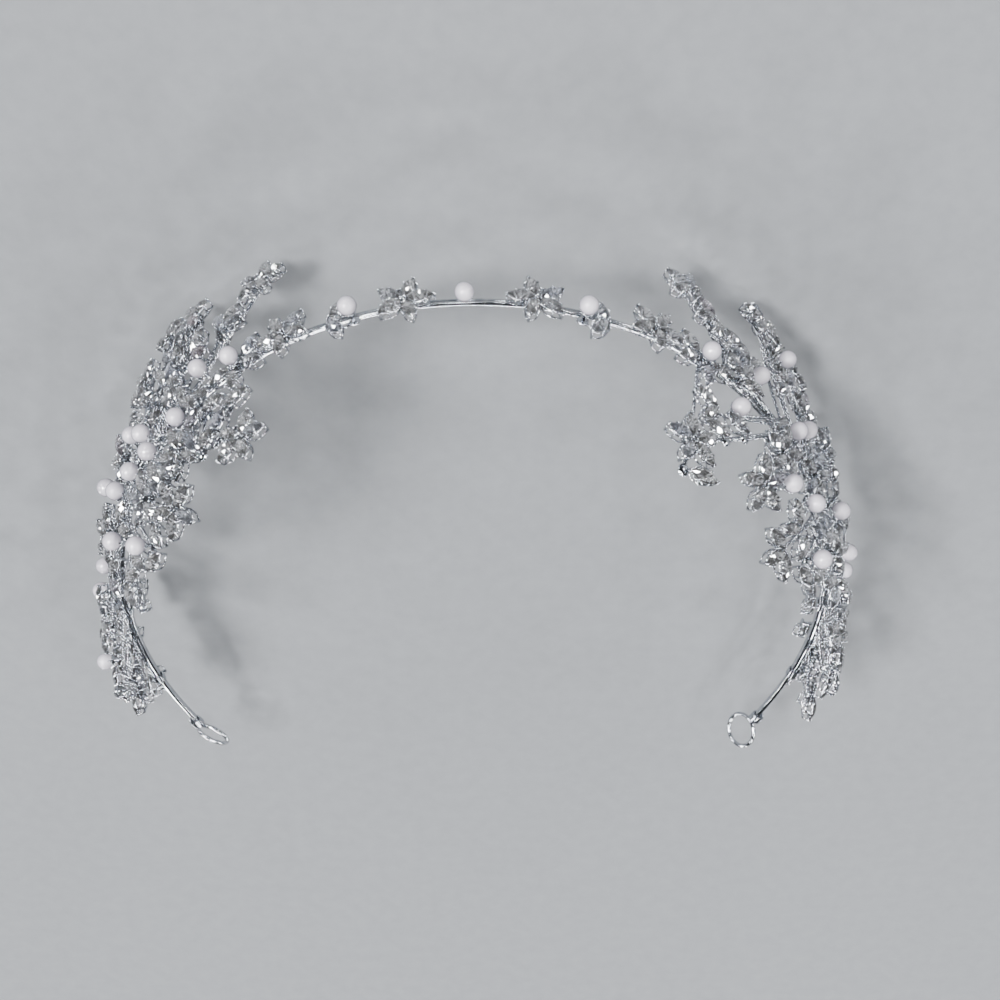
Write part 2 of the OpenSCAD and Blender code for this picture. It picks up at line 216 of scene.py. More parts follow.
def archPlace(s):
    # x, z and heading at arc length s, on three arcs that each start where the last one ended:
    # an arc's centre plus its radius times the sine and cosine of the heading
    radii = np.array(arch["radii"], float)
    turns = np.radians(arch["turns"])
    starts = np.concatenate([[0], np.cumsum(radii * turns)[:2]])
    heads = np.concatenate([[0], np.cumsum(turns)[:2]])
    steps = np.concatenate([[0], radii[:-1] - radii[1:]])
    centreX = np.cumsum(steps * np.sin(heads))
    centreZ = np.cumsum(steps * np.cos(heads)) - radii[0]
    i = np.clip(np.searchsorted(starts, s, side="right") - 1, 0, 2)
    heading = heads[i] + (s - starts[i]) / radii[i]
    x = centreX[i] + radii[i] * np.sin(heading)
    z = centreZ[i] + radii[i] * np.cos(heading)
    return x, z, heading


def archFrame(s, y=0.0, h=0.0):
    # origin and axes (down the arch, backwards, away from the head) on a surface that curves
    # over the head from front to back; works on whole arrays of s, y and h
    s, y, h = np.broadcast_arrays(*(np.asarray(v, float) for v in (s, y, h)))
    x, z, heading = archPlace(s)
    zero = np.zeros_like(x)
    along = np.stack([np.cos(heading), zero, -np.sin(heading)], -1)
    out = np.stack([np.sin(heading), zero, np.cos(heading)], -1)
    back = np.stack([zero, zero + 1, zero], -1)
    bend = (y / arch["overHead"])[..., None]
    outBent = np.cos(bend) * out + np.sin(bend) * back
    backBent = np.cos(bend) * back - np.sin(bend) * out
    place = np.stack([x, zero, z], -1) - arch["overHead"] * out
    place = place + (arch["overHead"] + h)[..., None] * outBent
    return place, np.stack([along, backBent, outBent], -1)


def rowFrame(row):
    # origin and axes of one flower of a spray, leaned about the band and then turned
    s, y, h, turn, lean = row[1:6]
    place, axes = archFrame(s, y, h)
    return place, axes @ turnAbout("X", -lean) @ turnAbout("Z", turn)


def topFrame(row):
    # the same for a flower of the top, which has a side and no lean
    s, y, h, turn = row[2:]
    place, axes = archFrame(s, y, h)
    return place, axes @ turnAbout("Z", turn)


def hasPearl(row):
    return flowerKinds[row[0]][4]


def gridFaces(rows, cols, closedRows=False):
    # two triangles for each cell of a grid whose columns close on themselves
    r = np.arange(rows if closedRows else rows - 1)[:, None]
    c = np.arange(cols)[None, :]
    a = r * cols + c
    b = r * cols + (c + 1) % cols
    d = (r + 1) % rows * cols + c
    e = (r + 1) % rows * cols + (c + 1) % cols
    halves = [np.stack(corners, -1).reshape(-1, 3) for corners in ([a, b, e], [a, e, d])]
    return np.concatenate(halves)


def capFaces(first, cols, centre, outwards):
    # a fan from a centre point to one ring of a grid
    c = np.arange(cols)
    fan = np.stack([np.full(cols, centre), first + (c + 1) % cols, first + c], -1)
    return fan if outwards else fan[:, ::-1]


def joinParts(parts):
    # several (points, triangles) as one
    counts = np.cumsum([0] + [len(p) for p, f in parts[:-1]])
    points = np.concatenate([p for p, f in parts])
    return points, np.concatenate([f + n for (p, f), n in zip(parts, counts)])


def pathAxes(path, closed=False):
    # tangents by central differences, and two normals from the direction that they follow least
    if closed:
        tangent = unit(np.roll(path, -1, 0) - np.roll(path, 1, 0))
    else:
        tangent = unit(np.gradient(path, axis=0))
    reference = np.linalg.svd(tangent, full_matrices=False)[2][-1]
    side = unit(np.cross(tangent, reference))
    return tangent, side, np.cross(tangent, side)


def tube(path, radius, sides, closed=False):
    # a circle of the given radius round each point of a path, across its tangent; each open end
    # is shut with a low point
    tangent, a, b = pathAxes(path, closed)
    angle = np.linspace(0, 2 * np.pi, sides, endpoint=False)
    r = np.broadcast_to(np.asarray(radius, float), (len(path),))[:, None, None]
    ring = np.cos(angle)[None, :, None] * a[:, None] + np.sin(angle)[None, :, None] * b[:, None]
    points = (path[:, None] + r * ring).reshape(-1, 3)
    faces = gridFaces(len(path), sides, closed)
    if closed:
        return points, faces
    ends = np.array([path[0] - 0.5 * r[0, 0] * tangent[0], path[-1] + 0.5 * r[-1, 0] * tangent[-1]])
    n = len(points)
    caps = [capFaces(0, sides, n, True), capFaces(n - sides, sides, n + 1, False)]
    return np.concatenate([points, ends]), np.concatenate([faces] + caps)


def bar(path, across, wide, deep):
    # a bar along a path, wide along one given direction and thin across it, with bevelled edges
    tangent = unit(np.gradient(path, axis=0))
    thin = unit(np.cross(tangent, across))
    wide = np.broadcast_to(np.asarray(wide, float), (len(path),))[:, None, None]
    shape = np.array([[1, 0], [0.7, 1], [-0.7, 1], [-1, 0], [-0.7, -1], [0.7, -1]])
    ring = shape[None, :, :1] * wide * across + shape[None, :, 1:] * deep * thin[:, None]
    points = (path[:, None] + ring).reshape(-1, 3)
    n = len(points)
    count = len(shape)
    faces = [gridFaces(len(path), count), capFaces(0, count, n, True),
             capFaces(n - count, count, n + 1, False)]
    return np.concatenate([points, path[:1], path[-1:]]), np.concatenate(faces)


def twist(path, wire):
    # each strand runs at an offset from the path and turns once round it in every pitch
    tangent, a, b = pathAxes(path)
    length = np.concatenate([[0], np.cumsum(np.linalg.norm(np.diff(path, axis=0), axis=1))])
    parts = []
    for strand in range(wire["strands"]):
        angle = 2 * np.pi * (length / wire["pitch"] + strand / wire["strands"])
        centre = path + wire["offset"] * (np.cos(angle)[:, None] * a + np.sin(angle)[:, None] * b)
        parts.append(tube(centre, wire["radius"], wire["sides"]))
    return joinParts(parts)


def lathe(profile, sides):
    # a profile of (radius, height) from the bottom up, turned about Z, poles closed
    profile = np.array(profile, float)
    angle = np.linspace(0, 2 * np.pi, sides, endpoint=False)
    points = np.stack([
        profile[:, :1] * np.cos(angle), profile[:, :1] * np.sin(angle),
        np.broadcast_to(profile[:, 1:], (len(profile), sides))], -1).reshape(-1, 3)
    n = len(points)
    ends = np.array([[0, 0, profile[0, 1]], [0, 0, profile[-1, 1]]])
    faces = [gridFaces(len(profile), sides), capFaces(0, sides, n, True),
             capFaces(n - sides, sides, n + 1, False)]
    return np.concatenate([points, ends]), np.concatenate(faces)


def scatter(template, places, axes):
    # one template carried to many frames at once
    points, faces = template
    moved = np.einsum("kij,nj->kni", axes, points) + places[:, None]
    shift = np.arange(len(places))[:, None, None] * len(points)
    return moved.reshape(-1, 3), (faces[None] + shift).reshape(-1, 3)


def mirrored(part, side):
    # the left side is the right one's mirror image, so its triangles turn over
    points, faces = part
    if side > 0:
        return points, faces
    return points * np.array([-1, 1, 1]), faces[:, ::-1]


def makePiece(name, part, material, nodes, smooth=True, tint=None):
    # one mesh from points and triangles, laid down and given its material and body, with the nodes
    # that it stands for hidden
    points, faces = part
    mesh = bpy.data.meshes.new(name)
    mesh.vertices.add(len(points))
    mesh.vertices.foreach_set("co", layDown(points).astype(np.float32).ravel())
    mesh.loops.add(len(faces) * 3)
    mesh.loops.foreach_set("vertex_index", faces.astype(np.int32).ravel())
    mesh.polygons.add(len(faces))
    mesh.polygons.foreach_set("loop_start", np.arange(0, len(faces) * 3, 3, dtype=np.int32))
    mesh.polygons.foreach_set("use_smooth", np.full(len(faces), smooth))
    mesh.update(calc_edges=True)
    # the stones' tint is painted colour for the coloured flashes of dispersion
    if tint is not None:
        layer = mesh.attributes.new("tint", "FLOAT", "POINT")
        layer.data.foreach_set("value", tint.astype(np.float32))
    mesh.materials.append(material)
    piece = bpy.data.objects.new(name, mesh)
    bpy.context.scene.collection.objects.link(piece)
    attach(piece, "root")
    if nodes:
        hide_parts(*nodes)
    print(f"{name}: {len(faces)} triangles")


# marquise brilliants: lengths and width in millimetres, rings in shares of the stone's outline,
# heights in shares of its width
gem = {"lengths": (4.8, 5.6), "width": 2.5, "longer": 0.36,
       "table": 0.54, "star": 0.8, "crown": 0.3, "starHeight": 0.55,
       "break": 0.3, "inner": 0.45, "pavilion": 0.44}


def marquise(length, width, t):
    # two equal arcs that meet in sharp tips; t runs from 0 at one tip to 0.5 at the other and back
    radius = (length ** 2 + width ** 2) / (4 * width)
    reach = math.asin(length / 2 / radius)
    t = np.asarray(t, float) % 1
    upper = t < 0.5
    angle = reach * np.where(upper, 1 - 4 * t, 4 * t - 3)
    rise = radius * np.cos(angle) - radius + width / 2
    return np.stack([radius * np.sin(angle), np.where(upper, rise, -rise)], -1)


def brilliant(length):
    # rings of points at the table, the star facets, the girdle and the break of the pavilion, with
    # a point below; the star's and the break's rings are turned by half a step
    w = gem["width"]
    eighth = np.arange(8) / 8
    half = eighth + 1 / 16
    sixteenth = np.arange(16) / 16
    rings = [
        (eighth, gem["table"], gem["crown"]), (half, gem["star"], gem["crown"] * gem["starHeight"]),
        (sixteenth, 1, 0), (half, gem["inner"], -gem["break"]), (np.zeros(1), 0, -gem["pavilion"])]
    points = np.concatenate([
        np.column_stack([marquise(length + gem["longer"], w, t) * share, np.full(len(t), w * z)])
        for t, share, z in rings])
    j = np.arange(8)
    after, before = (j + 1) % 8, (j - 1) % 8
    star, girdle, inner, point = 8, 16, 32, 40  # where each ring's points start
    triples = [
        (j[1:7] * 0, j[1:7], after[1:7]),
        (j, star + j, after),
        (j, star + before, girdle + 2 * j),
        (j, girdle + 2 * j, star + j),
        (star + j, girdle + 2 * j, girdle + 2 * j + 1),
        (star + j, girdle + 2 * j + 1, girdle + 2 * after),
        (inner + j, girdle + 2 * j + 1, girdle + 2 * j),
        (inner + j, girdle + 2 * after, girdle + 2 * j + 1),
        (np.full(8, point), inner + j, girdle + 2 * j),
        (np.full(8, point), girdle + 2 * j, inner + before)]
    return points, np.concatenate([np.column_stack(t) for t in triples])


stonePoints = len(brilliant(gem["lengths"][0])[0])

# an open basket round each stone, in millimetres: two rails (height, share of the stone's outline,
# spread beyond it), and flat posts that end in claws
basket = {"rails": ((-1.8, 0.88, 0), (-0.34, 1, 0.3)), "rail": 0.16, "railPoints": 10,
          "post": 0.2, "tipPost": 0.26, "depth": 0.12, "aim": 0.03,
          "heights": (-1.95, -0.4, 0.1, 0.34), "offsets": (-0.16, 0.2, 0.26, -0.04),
          "taper": (1, 1, 1, 0.7), "places": (0, 0.17, 0.33, 0.5, 0.67, 0.83)}


def stoneBasket(length):
    # rails follow the stone's outline; posts stand on them, go up round the girdle and bend over it
    w = gem["width"]
    loop = np.arange(basket["railPoints"]) / basket["railPoints"]
    parts = []
    for height, share, spread in basket["rails"]:
        outline = marquise(length * share + spread, w * share + spread, loop)
        path = np.column_stack([outline, np.full(len(loop), height)])
        parts.append(tube(path, basket["rail"], 4, closed=True))
    for t in basket["places"]:
        atTip = t in (0, 0.5)
        post = np.array([marquise(length + 2 * o, w + 2 * o, t) for o in basket["offsets"]])
        wide = basket["tipPost"] if atTip else basket["post"]
        ahead = marquise(length, w, t + basket["aim"]) - marquise(length, w, t - basket["aim"])
        across = unit(np.append(ahead * ([0, 1] if atTip else 1), 0))
        path = np.column_stack([post, basket["heights"]])
        parts.append(bar(path, across, wide * np.array(basket["taper"]), basket["depth"]))
    return joinParts(parts)


def stoneFrames(kind, place, axes):
    # the frame of each stone of one flower: out from its middle at each turn
    distance, turns, across = flowerKinds[kind][1:4]
    spins = [turnAbout("Z", turn) for turn in turns]
    places = np.array([place + axes @ spin @ np.array([distance, 0, 0]) for spin in spins])
    cross = turnAbout("Z", 90 if across else 0)
    return places, np.array([axes @ spin @ cross for spin in spins])


# pearls, in millimetres; the pole angle keeps the first and last circle open for their caps
pearlBead = {"radius": 1.8, "lift": 2.03, "pole": 0.02, "rings": 25, "sides": 36}

# cups: profiles of (radius, height) from the foot up, a shorter post where the foot is low, and
# claws between two angles from the pearl's lower pole
cup = {"foot": 1.9, "post": [(0.36, -0.5), (0.7, -0.1)], "footRadius": 0.3,
       "lowFoot": 0.5, "lowPost": [(0.7, -0.1)], "lowFootRadius": 0.6,
       "dish": [(1.15, 0.32), (1.24, 0.52), (1.14, 0.55), (0.8, 0.33), (0.4, 0.19), (0.05, 0.16)],
       "sides": 12, "claws": 4, "firstClaw": 45, "clawAngles": (32, 62), "clawPoints": 7,
       "clawOffset": 0.1, "clawRadii": (0.2, 0.13)}


def pearlBall():
    # a sphere: circles of latitude, whose radius is the sine of the angle from the lower pole and
    # whose height falls with its cosine
    angle = np.linspace(pearlBead["pole"], np.pi - pearlBead["pole"], pearlBead["rings"])
    r = pearlBead["radius"]
    profile = np.column_stack([r * np.sin(angle), pearlBead["lift"] - r * np.cos(angle)])
    return lathe(profile, pearlBead["sides"])


def pearlCup(foot):
    # a post that opens into a dish below the pearl, and claws on a circle just outside the pearl
    if foot > cup["lowFoot"]:
        post = [(cup["footRadius"], -foot)] + cup["post"]
    else:
        post = [(cup["lowFootRadius"], -foot)] + cup["lowPost"]
    parts = [lathe(post + cup["dish"], cup["sides"])]
    angle = np.radians(np.linspace(*cup["clawAngles"], cup["clawPoints"]))
    r = pearlBead["radius"] + cup["clawOffset"]
    arc = np.column_stack([r * np.sin(angle), 0 * angle, pearlBead["lift"] - r * np.cos(angle)])
    taper = np.linspace(*cup["clawRadii"], cup["clawPoints"])
    for n in range(cup["claws"]):
        turn = turnAbout("Z", cup["firstClaw"] + 360 * n / cup["claws"])
        parts.append(tube(arc @ turn.T, taper, 5))
    return joinParts(parts)


# a small round hub behind each flower, and spokes from it to the stones round a pearl, which end
# at a gap from a stone's middle, in millimetres
hub = {"profile": [(0.1, -1.95), (1.0, -1.95), (1.2, -1.8), (1.0, -1.62), (0.45, -1.5),
                   (0.1, -1.4)],
       "sides": 12, "spoke": 0.22, "spokeStart": 0.6, "spokeHeights": (-1.76, -1.8, -1.76),
       "gap": 1.9, "gapAcross": 0.95}


def flowerMetal(frames, foot=cup["foot"]):
    # all flowers' baskets, hubs, spokes and cups, each kind of part carried to its frames at once
    stones = {}
    hubs, cups, spokes = [], [], []
    for kind, place, axes in frames:
        length, distance, turns, across, pearl = flowerKinds[kind]
        if turns:
            hubs.append((place, axes))
            stones.setdefault(length, []).append(stoneFrames(kind, place, axes))
        if pearl:
            cups.append((place, axes))
            near = distance - (hub["gapAcross"] if across else hub["gap"])
            steps = (hub["spokeStart"], (hub["spokeStart"] + near) / 2, near)
            path = np.column_stack([steps, np.zeros(3), hub["spokeHeights"]])
            for turn in turns:
                spokes.append(tube(place + path @ (axes @ turnAbout("Z", turn)).T, hub["spoke"], 5))
    parts = [scatter(stoneBasket(length), *(np.concatenate(v) for v in zip(*found)))
             for length, found in stones.items()]
    if hubs:
        disc = lathe(hub["profile"], hub["sides"])
        parts.append(scatter(disc, *(np.array(v) for v in zip(*hubs))))
    if cups:
        parts.append(scatter(pearlCup(foot), *(np.array(v) for v in zip(*cups))))
    return parts + spokes


def flowerStones(frames):
    # all stones of the flowers, one length after the other
    parts = []
    for length in gem["lengths"]:
        found = [stoneFrames(kind, place, axes) for kind, place, axes in frames
                 if flowerKinds[kind][0] == length]
        if found:
            parts.append(scatter(brilliant(length), *(np.concatenate(v) for v in zip(*found))))
    return joinParts(parts)


# twisted wire, in millimetres; the knee is where a stem turns up, in shares of its way along the
# band and across it, and so far below the flower
stemWire = {"strands": 2, "radius": 0.21, "offset": 0.2, "pitch": 1.5, "sides": 4, "step": 0.25,
            "bend": 0.72, "foot": 1.75, "kneeAlong": 0.7, "kneeAcross": 0.75, "kneeBelow": 3.4}
spine = {"strands": 3, "radius": 0.24, "offset": 0.25, "pitch": 3.2, "sides": 6, "step": 0.3,
         "start": 41, "end": 147, "lift": 1.0}


def stemPath(row):
    # a cubic curve: it leaves the spine low along the head and rises to the foot of the flower
    s, y, h, _, lean, root = row[1:]
    foot = stemWire["foot"]
    bent = math.radians(lean)
    start = archFrame(root, 0, spine["lift"])[0]
    knee = archFrame(root + stemWire["kneeAlong"] * (s - root), stemWire["kneeAcross"] * y,
                     max(spine["lift"], h - stemWire["kneeBelow"]))[0]
    end = archFrame(s, y - foot * math.sin(bent), h - foot * math.cos(bent))[0]
    one = start + stemWire["bend"] * (knee - start)
    two = end + stemWire["bend"] * (knee - end)
    length = np.linalg.norm(knee - start) + np.linalg.norm(end - knee)
    t = np.linspace(0, 1, max(8, int(length / stemWire["step"])))[:, None]
    u = 1 - t
    return u ** 3 * start + 3 * t * u ** 2 * one + 3 * t ** 2 * u * two + t ** 3 * end


ties = {"stations": (47, 72, 98, 121, 143), "wire": 0.17, "turns": 5, "turnPoints": 16,
        "width": 1.8, "middle": 0.48, "high": 1.24, "wide": 1.0, "square": 0.65}


def tieCoil(station, turns=ties["turns"]):
    # a helix round the strip and the spine together, whose sine and cosine are raised to a power
    # below one, which makes it squarish
    u = np.linspace(0, 1, ties["turnPoints"] * turns + 1)
    angle = 2 * np.pi * turns * u
    up, across = [np.sign(v) * np.abs(v) ** ties["square"] for v in (np.cos(angle), np.sin(angle))]
    y = ties["wide"] * across
    lift = ties["middle"] + ties["high"] * up
    return tube(archFrame(station + (u - 0.5) * ties["width"], y, lift)[0], ties["wire"], 5)


def sprayWires(rows):
    # stems, the spine that they leave and the coils that tie it to the strip
    parts = [twist(stemPath(row), stemWire) for row in rows]
    s = np.arange(spine["start"], spine["end"], spine["step"])
    parts.append(twist(archFrame(s, 0, spine["lift"])[0], spine))
    parts += [tieCoil(station) for station in ties["stations"]]
    return joinParts(parts)


# strip and eyelets, in millimetres; the lower edges are cut off at shares of half the thickness
# and half the width
strip = {"width": 1.3, "thickness": 0.9, "ridge": 0.17, "ridgePower": 0.7, "ridgePoints": 17,
         "edgeUp": 0.7, "edgeIn": 0.8, "step": 1.2}
eyelets = {"radius": 3.65, "wire": 0.45, "points": 72, "sides": 12,
           "turn": {"right": 60, "left": -25}, "tie": 159.6, "tieTurns": 6}


def stripProfile():
    # (back, lift): flat below, and above it a power of the sine's size, which gives two rounded
    # ridges with a groove between them
    w, t = strip["width"] / 2, strip["thickness"] / 2
    y = np.linspace(w, -w, strip["ridgePoints"])
    top = t - strip["ridge"] * (1 - np.abs(np.sin(np.pi * y / w)) ** strip["ridgePower"])
    side, flat = -t * strip["edgeUp"], w * strip["edgeIn"]
    below = np.array([[-w, side], [-flat, -t], [flat, -t], [w, side]])
    return np.concatenate([np.column_stack([y, top]), below])


def bandStrip():
    # the profile carried along the whole arch, from one end to the other
    s = np.linspace(-archLength, archLength, 2 * int(archLength / strip["step"]) + 1)
    back, lift = stripProfile().T[:, None, :, None]
    places, axes = archFrame(np.abs(s))
    points = places[:, None] + back * axes[:, None, :, 1] + lift * axes[:, None, :, 2]
    points[..., 0] *= np.sign(s)[:, None]
    points[len(s) // 2, :, 0] = 0
    count = points.shape[1]
    flat = points.reshape(-1, 3)
    n = len(flat)
    faces = [gridFaces(len(s), count), capFaces(0, count, n, True),
             capFaces(n - count, count, n + 1, False)]
    ends = np.array([points[0].mean(0), points[-1].mean(0)])
    return np.concatenate([flat, ends]), np.concatenate(faces)


def eyelet(turn):
    # a circle of round wire beyond the end of the strip, turned about the strip
    place, axes = archFrame(archLength)
    angle = np.linspace(0, 2 * np.pi, eyelets["points"], endpoint=False)
    r = eyelets["radius"]
    along = r * np.cos(angle) + r + eyelets["wire"] / 2
    ring = np.column_stack([along, 0 * angle, r * np.sin(angle)]) @ turnAbout("X", turn).T
    return tube(place + ring @ axes.T, eyelets["wire"], eyelets["sides"], closed=True)


def stripMetal():
    # the strip with its eyelets and the coils where they join
    parts = [bandStrip()]
    for side, word in ((1, "right"), (-1, "left")):
        coil = tieCoil(eyelets["tie"], eyelets["tieTurns"])
        parts.append(mirrored(joinParts([eyelet(eyelets["turn"][word]), coil]), side))
    return joinParts(parts)


# posts of the top's flowers, in millimetres: at each corner a share of the flower's place forward
# or back and a lift, the last one so far below the flower; a flower that is lower has no post
topPost = {"lowest": 1, "shares": (0, 0.6, 1, 1), "lifts": (0.2, 0.45, 0.7), "below": 1.5,
           "radius": 0.36, "sides": 8}


def topMetal():
    # settings and cups along the top, each on a post that leaves the strip and turns up,
    # and a low pearl's cup straight on the strip
    parts = []
    for side in (1, -1):
        rows = [row for row in topRows if row[1] == side]
        high = [row for row in rows if row[4] > topPost["lowest"]]
        metal = flowerMetal([(row[0], *topFrame(row)) for row in high])
        for row in rows:
            if row[4] <= topPost["lowest"]:
                metal += flowerMetal([(row[0], *topFrame(row))], row[4])
        for s, y, h in (row[2:5] for row in high):
            lifts = (*topPost["lifts"], h - topPost["below"])
            path = archFrame(s, np.array(topPost["shares"]) * y, lifts)[0]
            metal.append(tube(path, topPost["radius"], topPost["sides"]))
        parts.append(mirrored(joinParts(metal), side))
    return joinParts(parts)


def colour(code):
    # sRGB hex to linear
    channels = np.array([int(code[i:i + 2], 16) / 255 for i in (1, 3, 5)])
    linear = np.where(channels <= 0.04045, channels / 12.92, ((channels + 0.055) / 1.055) ** 2.4)
    return (*linear, 1)


def dressNode(tree, node, settings, links):
    # a node's settings and its links from other nodes' outputs; "stops" are a ramp's colours
    for name, value in settings.items():
        if name == "stops":
            elements = node.color_ramp.elements
            while len(elements) < len(value):
                elements.new(0.5)
            for element, (place, code) in zip(elements, value):
                element.position = place
                element.color = colour(code)
        elif name in node.inputs:
            node.inputs[name].default_value = value
        else:
            setattr(node, name, value)
    for name, source in links.items():
        tree.links.new(source, node.inputs[name])
    return node


def addNode(tree, kind, settings=None, links=None):
    return dressNode(tree, tree.nodes.new(kind), settings or {}, links or {})


def newMaterial(name):
    material = bpy.data.materials.new(name)
    material.use_nodes = True
    return material, material.node_tree, material.node_tree.nodes["Principled BSDF"]


# noise scales are in cells to a metre
rhodium = {"tones": ((0.3, "#B4B8BE"), (0.7, "#DFE1E5")),
           "clouds": 900,  # patches 1.1 mm wide
           "marks": 4000,  # polishing marks 0.25 mm apart, coarser than real ones so that they show
           "markStrength": 0.05, "markDepth": 0.00002,
           "cast": (0.05, 0.15), "drawn": (0.1, 0.24)}  # roughness, smoothest and dullest


def rhodiumPlate(name, finish):
    # rhodium-plated brass, polished after casting or drawing: bright, faintly cool, with soft marks
    material, tree, shader = newMaterial(name)
    place = addNode(tree, "ShaderNodeTexCoord").outputs["Object"]
    cloud = addNode(tree, "ShaderNodeTexNoise",
                    {"Scale": rhodium["clouds"], "Detail": 4}, {"Vector": place}).outputs["Fac"]
    tone = addNode(tree, "ShaderNodeValToRGB", {"stops": rhodium["tones"]}, {"Fac": cloud})
    dull = addNode(tree, "ShaderNodeMapRange",
                   {"To Min": finish[0], "To Max": finish[1]}, {"Value": cloud})
    marks = addNode(tree, "ShaderNodeTexNoise",
                    {"Scale": rhodium["marks"], "Detail": 2}, {"Vector": place})
    bump = addNode(tree, "ShaderNodeBump",
                   {"Strength": rhodium["markStrength"], "Distance": rhodium["markDepth"]},
                   {"Height": marks.outputs["Fac"]})
    dressNode(tree, shader, {"Metallic": 1}, {
        "Base Color": tone.outputs["Color"], "Roughness": dull.outputs["Result"],
        "Normal": bump.outputs["Normal"]})
    return material


# the faint blues and pinks are painted colour standing in for the coloured flashes of dispersion
zirconia = {"tones": ((0, "#FFFFFF"), (0.7, "#FDFDFF"), (0.85, "#F6F9FF"), (0.94, "#F2F5FF"),
                      (1, "#FFF5F9")),
            "transmission": 0.95, "ior": 2.17, "roughness": 0.01}


def cubicZirconia():
    # cubic zirconia, cut and polished: clear, very bright, some stones a little blue or pink
    material, tree, shader = newMaterial("cubicZirconia")
    tint = addNode(tree, "ShaderNodeAttribute", {"attribute_name": "tint"})
    tone = addNode(tree, "ShaderNodeValToRGB",
                   {"stops": zirconia["tones"]}, {"Fac": tint.outputs["Fac"]})
    dressNode(tree, shader, {
        "Transmission Weight": zirconia["transmission"], "IOR": zirconia["ior"],
        "Roughness": zirconia["roughness"]}, {"Base Color": tone.outputs["Color"]})
    # cubic zirconia, cut and polished: clear, very bright, with a faint blue or pink tint on some
    # stones painted in for the coloured flashes of dispersion
    return material


# the rim colour is painted shade: a darker, cooler tone towards the pearl's edge
pearlSkin = {"tones": ((0.3, "#C4C1C8"), (0.7, "#D1CED4")), "rim": "#85818C", "rimBlend": 0.35,
             "clouds": 500,  # patches 2 mm wide
             "roughness": 0.22,
             "coat": 1, "coatRoughness": 0.05, "coatIor": 1.68}  # aragonite, the mineral in nacre


def nacre():
    # round white pearl, polished nacre: a soft satin body with a breath of lilac, and painted shade
    # that makes it darker and cooler towards the rim, under a clear gloss
    material, tree, shader = newMaterial("nacre")
    place = addNode(tree, "ShaderNodeTexCoord").outputs["Object"]
    cloud = addNode(tree, "ShaderNodeTexNoise",
                    {"Scale": pearlSkin["clouds"], "Detail": 3}, {"Vector": place})
    body = addNode(tree, "ShaderNodeValToRGB",
                   {"stops": pearlSkin["tones"]}, {"Fac": cloud.outputs["Fac"]})
    # painted shade: the body darkens and cools where its surface turns away from the view
    rim = addNode(tree, "ShaderNodeLayerWeight", {"Blend": pearlSkin["rimBlend"]})
    mix = addNode(tree, "ShaderNodeMix", {"data_type": "RGBA", "B": colour(pearlSkin["rim"])},
                  {"Factor": rim.outputs["Facing"], "A": body.outputs["Color"]})
    dressNode(tree, shader, {
        "Roughness": pearlSkin["roughness"], "Coat Weight": pearlSkin["coat"],
        "Coat Roughness": pearlSkin["coatRoughness"], "Coat IOR": pearlSkin["coatIor"]},
        {"Base Color": mix.outputs["Result"]})
    return material


castMetal = rhodiumPlate("castRhodium", rhodium["cast"])
drawnMetal = rhodiumPlate("drawnRhodium", rhodium["drawn"])
stoneMaterial, pearlMaterial = cubicZirconia(), nacre()
print("materials made")
chance = np.random.default_rng(7)  # a fixed seed, so every run gives the same tints


def stoneFireTints(stones):
    # one random tint for each stone, painted in for the coloured flashes of dispersion, the same at
    # all its points
    count = len(stones[0]) // stonePoints
    return np.repeat(chance.random(count), stonePoints)


makePiece("strip", stripMetal(), drawnMetal, ["band"])
makePiece("topSettings", topMetal(), castMetal, [])
sprays = ((-1, "left", leftRows + leftExtras), (1, "right", rightRows + rightExtras))
for side, word, rows in sprays:
    frames = [(row[0], *rowFrame(row)) for row in rows]
    settings = mirrored(joinParts(flowerMetal(frames)), side)
    makePiece(word + "Settings", settings, castMetal, [word + "_spray"])
    makePiece(word + "Wires", mirrored(sprayWires(rows), side), castMetal, [])
    stones = mirrored(flowerStones(frames), side)
    makePiece(word + "Stones", stones, stoneMaterial, [word + "_stones"],
              smooth=False, tint=stoneFireTints(stones))

topFlowers = {side: [(row[0], *topFrame(row)) for row in topRows if row[1] == side]
              for side in (-1, 1)}
stones = joinParts([mirrored(flowerStones(frames), side) for side, frames in topFlowers.items()])
makePiece("topStones", stones, stoneMaterial, ["top_stones"],
          smooth=False, tint=stoneFireTints(stones))

ball = pearlBall()
pearlPlaces = {
    "top": [(row[1], *topFrame(row)) for row in topRows if hasPearl(row)],
    "left": [(-1, *rowFrame(row)) for row in leftRows if hasPearl(row)],
    "right": [(1, *rowFrame(row)) for row in rightRows if hasPearl(row)]}
for word, found in pearlPlaces.items():
    for n, (side, place, axes) in enumerate(found, 1):
        pearl = mirrored(scatter(ball, place[None], axes[None]), side)
        makePiece(f"{word}Pearl{n}", pearl, pearlMaterial, [f"{word}_pearl_{n}"])

# camera, in the arch's millimetres: it looks at the target from in front and above
shot = {"target": (5.2, 0, -48.9), "distance": 338, "elevation": 43.5, "yaw": -0.64,
        "lens": 61.2, "nearest": 0.01}  # nearest is the clip distance, in metres


def addCamera():
    # the direction back to the camera comes from its elevation and yaw, and the picture's axes
    # from that direction and the arch's own vertical
    up = math.radians(shot["elevation"])
    yaw = math.radians(shot["yaw"])
    back = np.array([math.sin(yaw) * math.cos(up), -math.cos(yaw) * math.cos(up), math.sin(up)])
    right = unit(np.cross(-back, [0, 0, 1]))
    data = bpy.data.cameras.new("camera")
    data.lens = shot["lens"]
    data.clip_start = shot["nearest"]
    camera = bpy.data.objects.new("camera", data)
    axes = lieTurn @ np.column_stack([right, np.cross(back, right), back])
    matrix = Matrix(axes.tolist()).to_4x4()
    matrix.translation = layDown(np.array(shot["target"]) + shot["distance"] * back)
    camera.matrix_world = matrix
    bpy.context.scene.collection.objects.link(camera)
    bpy.context.scene.camera = camera


